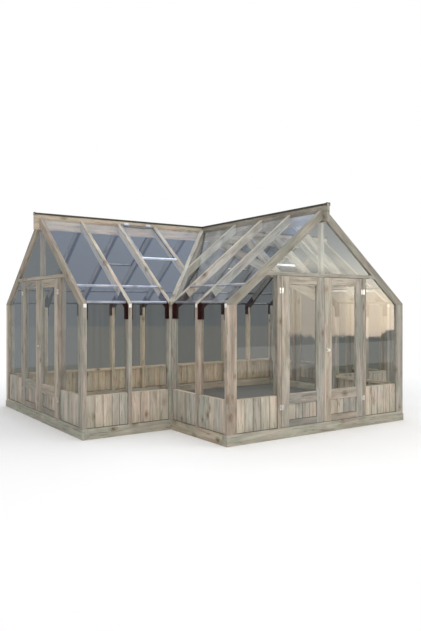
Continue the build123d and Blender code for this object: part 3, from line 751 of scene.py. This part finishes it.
SHOWN = {
    "north_wall_glass": wall_glass,
    "wing_wall_glass": wall_glass,
    "gable_glass": gable_glass,
    "north_roof_glass": roof_glass,
    "wing_roof_glass": roof_glass,
    "roof_vent_glass": roof_glass,
    "long_ridge_cap": ridge_sheet,
    "south_ridge_cap": ridge_sheet,
    "roof_glazing_bars": glazing_metal,
    "eave_strips": glazing_metal,
    "roof_vent_frames": vent_metal,
    "knee_plates": plate_paint,
    "jamb_hinges": door_metal,
}
for gable in GABLES:
    SHOWN[f"{gable}_left_door_glass"] = gable_glass
    SHOWN[f"{gable}_right_door_glass"] = gable_glass
    SHOWN[f"{gable}_left_door_hinges"] = door_metal
    SHOWN[f"{gable}_right_door_furniture"] = door_metal
for node, material in SHOWN.items():
    for material_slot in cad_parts[node].material_slots:
        material_slot.material = material


# Studio: pale floor, soft lamps and a white background

# The floor is a disc, and its paper turns white between these distances from the origin, in metres.
FLOOR_RADIUS = 40
FLOOR_SIDES = 96
FADE_START, FADE_END = 3.2, 6.5

# Linear colours of the paper and of the soft light, and the dull tones that the floor and the background
# take on behind the panes
PAPER = (0.96, 0.96, 0.96, 1)
SOFT_LIGHT = (0.95, 0.97, 1.0, 1)
SOFT_STRENGTH = 0.62
FLOOR_BEHIND_GLASS = (0.208, 0.204, 0.194, 1)
BACKGROUND_BEHIND_GLASS = (0.162, 0.168, 0.176, 1)


def through_panes(tree):
    """One for what the camera sees through a pane, and nought for what it sees beside the panes."""
    path = add(tree, "ShaderNodeLightPath").outputs
    passed = add(tree, "ShaderNodeMath", {0: path["Transparent Depth"], 1: 0.5}, operation="GREATER_THAN")
    inputs = {0: passed.outputs[0], 1: path["Is Camera Ray"]}
    return add(tree, "ShaderNodeMath", inputs, operation="MULTIPLY").outputs[0]


def floor_material():
    """Pale matt paper that keeps the building's shadow and fades to the white background.

    Through the panes the same floor looks dull.
    """
    material, tree, output = new_material("pale_floor")
    place = add(tree, "ShaderNodeTexCoord").outputs["Object"]
    away = add(tree, "ShaderNodeVectorMath", {0: place}, operation="LENGTH").outputs["Value"]
    behind = through_panes(tree)
    paper_layer = {0: behind, 6: PAPER, 7: FLOOR_BEHIND_GLASS}
    paper_colour = add(tree, "ShaderNodeMix", paper_layer, **MIX).outputs[2]
    white_layer = {0: behind, 6: WHITE, 7: FLOOR_BEHIND_GLASS}
    white_colour = add(tree, "ShaderNodeMix", white_layer, **MIX).outputs[2]
    paper = add(tree, "ShaderNodeBsdfDiffuse", {"Color": paper_colour}).outputs[0]
    white = add(tree, "ShaderNodeEmission", {"Color": white_colour, "Strength": 1.0}).outputs[0]
    fade_range = {"Value": away, "From Min": FADE_START, "From Max": FADE_END}
    fade = add(tree, "ShaderNodeMapRange", fade_range, **SOFT).outputs["Result"]
    surface = add(tree, "ShaderNodeMixShader", {0: fade, 1: paper, 2: white})
    tree.links.new(surface.outputs[0], output.inputs["Surface"])
    return material


def level_ring(radius, count):
    """Points on a level circle about the origin: the radius times the cosine and sine of even turns."""
    turn = np.linspace(0, 2 * math.pi, count, endpoint=False)
    return np.stack([radius * np.cos(turn), radius * np.sin(turn), np.zeros(count)], -1)


floor_mesh = bpy.data.meshes.new("floor")
floor_mesh.from_pydata(level_ring(FLOOR_RADIUS, FLOOR_SIDES).tolist(), [], [list(range(FLOOR_SIDES))])
floor_mesh.materials.append(floor_material())
floor = bpy.data.objects.new("floor", floor_mesh)
bpy.context.scene.collection.objects.link(floor)
floor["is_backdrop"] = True


def studio_world():
    """A soft light from all round, and a white background that is only seen or mirrored."""
    world = bpy.data.worlds.new("studio")
    world.use_nodes = True
    tree = world.node_tree
    tree.nodes.clear()
    path = add(tree, "ShaderNodeLightPath").outputs
    seen_inputs = {0: path["Is Camera Ray"], 1: path["Is Glossy Ray"]}
    seen = add(tree, "ShaderNodeMath", seen_inputs, operation="ADD").outputs[0]
    all_inputs = {0: seen, 1: path["Is Transmission Ray"]}
    seen = add(tree, "ShaderNodeMath", all_inputs, operation="ADD", use_clamp=True).outputs[0]
    soft_inputs = {"Color": SOFT_LIGHT, "Strength": SOFT_STRENGTH}
    soft = add(tree, "ShaderNodeBackground", soft_inputs).outputs[0]
    white_layer = {0: through_panes(tree), 6: WHITE, 7: BACKGROUND_BEHIND_GLASS}
    white_colour = add(tree, "ShaderNodeMix", white_layer, **MIX).outputs[2]
    white = add(tree, "ShaderNodeBackground", {"Color": white_colour, "Strength": 1.0}).outputs[0]
    surface = add(tree, "ShaderNodeMixShader", {0: seen, 1: soft, 2: white})
    tree.links.new(surface.outputs[0], add(tree, "ShaderNodeOutputWorld").inputs["Surface"])
    return world


scene = bpy.context.scene
scene.world = studio_world()


def lamp(name, place, target, size, power, colour):
    """A square area lamp at a place, facing a target."""
    data = bpy.data.lights.new(name, "AREA")
    data.size, data.energy, data.color = size, power, linear(colour)[:3]
    made = bpy.data.objects.new(name, data)
    scene.collection.objects.link(made)
    made.location = place
    aim = Vector(target) - Vector(place)
    made.rotation_euler = aim.to_track_quat("-Z", "Y").to_euler()
    made.visible_camera = False
    made.visible_glossy = False


lamp("front_lamp", (-5, -10, 6.5), (0, -0.5, 1.0), 5.0, 420, "#fffaf2")
lamp("side_lamp", (7, -9, 5.5), (0, -1.0, 1.0), 5.0, 260, "#fff6ec")
lamp("top_lamp", (0, 0.5, 9), (0, 0.5, 0), 7.0, 220, "#f7faff")
lamp("back_lamp", (4, 10, 6), (0, 0.5, 1.2), 5.0, 260, "#f7faff")


# Cards that only the panes and the metal mirror, with their places in metres

WARM_CARD_LOW, WARM_CARD_HIGH = 0.6, 4.6
FOOT_LOW, FOOT_HIGH = 0.52, 1.04
FOOT_EDGE = 0.12
LOW_CARD_LEVEL = 0.004


def upright_corners(west, east, place_y, low, high):
    """Corners of a card that stands along X."""
    return [(west, place_y, low), (east, place_y, low), (east, place_y, high), (west, place_y, high)]


def level_corners(west, east, south, north, height):
    """Corners of a level card."""
    return [(west, south, height), (east, south, height), (east, north, height), (west, north, height)]


def card(name, corners, material):
    """A flat card through four corners that lights nothing and is hidden from the camera."""
    mesh = bpy.data.meshes.new(name)
    mesh.from_pydata(corners, [], [(0, 1, 2, 3)])
    mesh.materials.append(material)
    made = bpy.data.objects.new(name, mesh)
    scene.collection.objects.link(made)
    made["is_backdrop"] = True
    for kind in ("camera", "diffuse", "transmission", "shadow"):
        setattr(made, "visible_" + kind, False)


def even_glow(name, colour):
    """An even glow for a card."""
    material, tree, output = new_material(name)
    lit = add(tree, "ShaderNodeEmission", {"Color": linear(colour), "Strength": 1.0}).outputs[0]
    tree.links.new(lit, output.inputs["Surface"])
    return material


def overhead_glow():
    """A blue glow that breaks up towards the north into grey and pale blotches about 0.3 m long."""
    material, tree, output = new_material("overhead_glow")
    place = add(tree, "ShaderNodeTexCoord").outputs["Object"]
    blotch_inputs = {"Vector": place, "Scale": 1.7, "Detail": 3.0}
    blotches = add(tree, "ShaderNodeTexNoise", blotch_inputs).outputs["Fac"]
    pale_range = {"Value": blotches, "From Min": 0.40, "From Max": 0.62}
    pale = add(tree, "ShaderNodeMapRange", pale_range, **SOFT).outputs["Result"]
    blotch_layer = {0: pale, 6: linear("#7f8389"), 7: linear("#c3c5c5")}
    blotched = add(tree, "ShaderNodeMix", blotch_layer, **MIX).outputs[2]
    north = add(tree, "ShaderNodeSeparateXYZ", {"Vector": place}).outputs["Y"]
    ragged = add(tree, "ShaderNodeMath", {0: north, 1: blotches}, operation="ADD").outputs[0]
    north_range = {"Value": ragged, "From Min": 4.8, "From Max": 5.5}
    north_share = add(tree, "ShaderNodeMapRange", north_range, **SOFT).outputs["Result"]
    blue_layer = {0: north_share, 6: linear("#d3e3ff"), 7: blotched}
    colour = add(tree, "ShaderNodeMix", blue_layer, **MIX).outputs[2]
    lit = add(tree, "ShaderNodeEmission", {"Color": colour, "Strength": 2.4}).outputs[0]
    tree.links.new(lit, output.inputs["Surface"])
    return material


def warm_glow():
    """A glow that is warm low down and grey above, over a dark and uneven foot.

    In its lower part it brightens from west to east in two steps.
    """
    material, tree, output = new_material("evening_glow")
    place = add(tree, "ShaderNodeTexCoord").outputs["Object"]
    axes = add(tree, "ShaderNodeSeparateXYZ", {"Vector": place}).outputs
    stops = [(0.0, "#c9b2a6"), (0.12, "#e8d2b8"), (0.30, "#f2dfc4"), (0.45, "#d6d0c2"),
             (0.60, "#a8a9a4"), (0.74, "#8f918e"), (1.0, "#8a8e8f")]
    rise_range = {"Value": axes["Z"], "From Min": WARM_CARD_LOW, "From Max": WARM_CARD_HIGH}
    rise = add(tree, "ShaderNodeMapRange", rise_range).outputs["Result"]
    colour = add(tree, "ShaderNodeValToRGB", {"Fac": rise}, stops).outputs["Color"]

    # The two steps are 2.2 m high, and above 2.7 m the glow is whole.
    west_range = {"Value": axes["X"], "From Min": 4.4, "From Max": 4.9, "To Max": 0.48}
    west_step = add(tree, "ShaderNodeMapRange", west_range, **SOFT).outputs["Result"]
    east_range = {"Value": axes["X"], "From Min": 5.9, "From Max": 7.4, "To Max": 0.48}
    east_step = add(tree, "ShaderNodeMapRange", east_range, **SOFT).outputs["Result"]
    steps = add(tree, "ShaderNodeMath", {0: west_step, 1: east_step}, operation="ADD").outputs[0]
    lift_range = {"Value": axes["Z"], "From Min": 2.2, "From Max": 2.7}
    lift = add(tree, "ShaderNodeMapRange", lift_range, **SOFT).outputs["Result"]
    whole = add(tree, "ShaderNodeMath", {0: steps, 1: lift}, operation="MAXIMUM").outputs[0]

    # The dark foot rises and falls between its two heights.
    swell_inputs = {"Vector": place, "Scale": 0.9, "Detail": 4.0}
    swell = add(tree, "ShaderNodeTexNoise", swell_inputs).outputs["Fac"]
    foot_range = {"Value": swell, "From Min": 0.3, "From Max": 0.7,
                  "To Min": FOOT_LOW, "To Max": FOOT_HIGH}
    foot = add(tree, "ShaderNodeMapRange", foot_range).outputs["Result"]
    above = add(tree, "ShaderNodeMath", {0: axes["Z"], 1: foot}, operation="SUBTRACT").outputs[0]
    shown_range = {"Value": above, "From Min": 0.0, "From Max": FOOT_EDGE, "To Max": whole}
    shown = add(tree, "ShaderNodeMapRange", shown_range, **SOFT).outputs["Result"]
    dark_layer = {0: shown, 6: linear("#23262b"), 7: colour}
    colour = add(tree, "ShaderNodeMix", dark_layer, **MIX).outputs[2]
    lit = add(tree, "ShaderNodeEmission", {"Color": colour, "Strength": 10.0}).outputs[0]
    tree.links.new(lit, output.inputs["Surface"])
    return material


card("evening_card", upright_corners(2.6, 10, -8, WARM_CARD_LOW, WARM_CARD_HIGH), warm_glow())
card("overhead_card", level_corners(-2, 9, -2, 13, 8), overhead_glow())
card("dull_card", upright_corners(-9, -2.6, 8, 0, 6), even_glow("dull_glow", "#a7aeb4"))
card("ground_card", level_corners(-12, -2.9, -1, 8, LOW_CARD_LEVEL), even_glow("ground_glow", "#888983"))
card("lawn_card", level_corners(0, 10, -8, -3.5, LOW_CARD_LEVEL), even_glow("lawn_glow", "#8c8b7e"))


# Camera: level and placed by the photograph's perspective, with its picture measures in pixels

PHOTO_WIDTH, PHOTO_HEIGHT = 421, 631
FOCAL_PIXELS = 618.46
PRINCIPAL_X, PRINCIPAL_Y = 194.12, 306.54
CAMERA_PLACE = (-5.5818, -7.5986, 1.5612)
CAMERA_TURN = math.radians(33.38)
SENSOR_MM = 36
VIEW_END = 200

camera_data = bpy.data.cameras.new("camera")
camera = bpy.data.objects.new("camera", camera_data)
scene.collection.objects.link(camera)
camera.location = CAMERA_PLACE
camera.rotation_euler = (math.pi / 2, 0, -CAMERA_TURN)
camera_data.sensor_width = SENSOR_MM
camera_data.lens = FOCAL_PIXELS * SENSOR_MM / PHOTO_HEIGHT
camera_data.shift_x = (PHOTO_WIDTH / 2 - PRINCIPAL_X) / PHOTO_HEIGHT
camera_data.shift_y = (PRINCIPAL_Y - PHOTO_HEIGHT / 2) / PHOTO_HEIGHT
camera_data.clip_end = VIEW_END
scene.camera = camera
scene.view_settings.view_transform = "Standard"

# A line of sight along the building passes many panes, so the limit on them is high.
scene.cycles.transparent_max_bounces = 40

low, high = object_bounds()
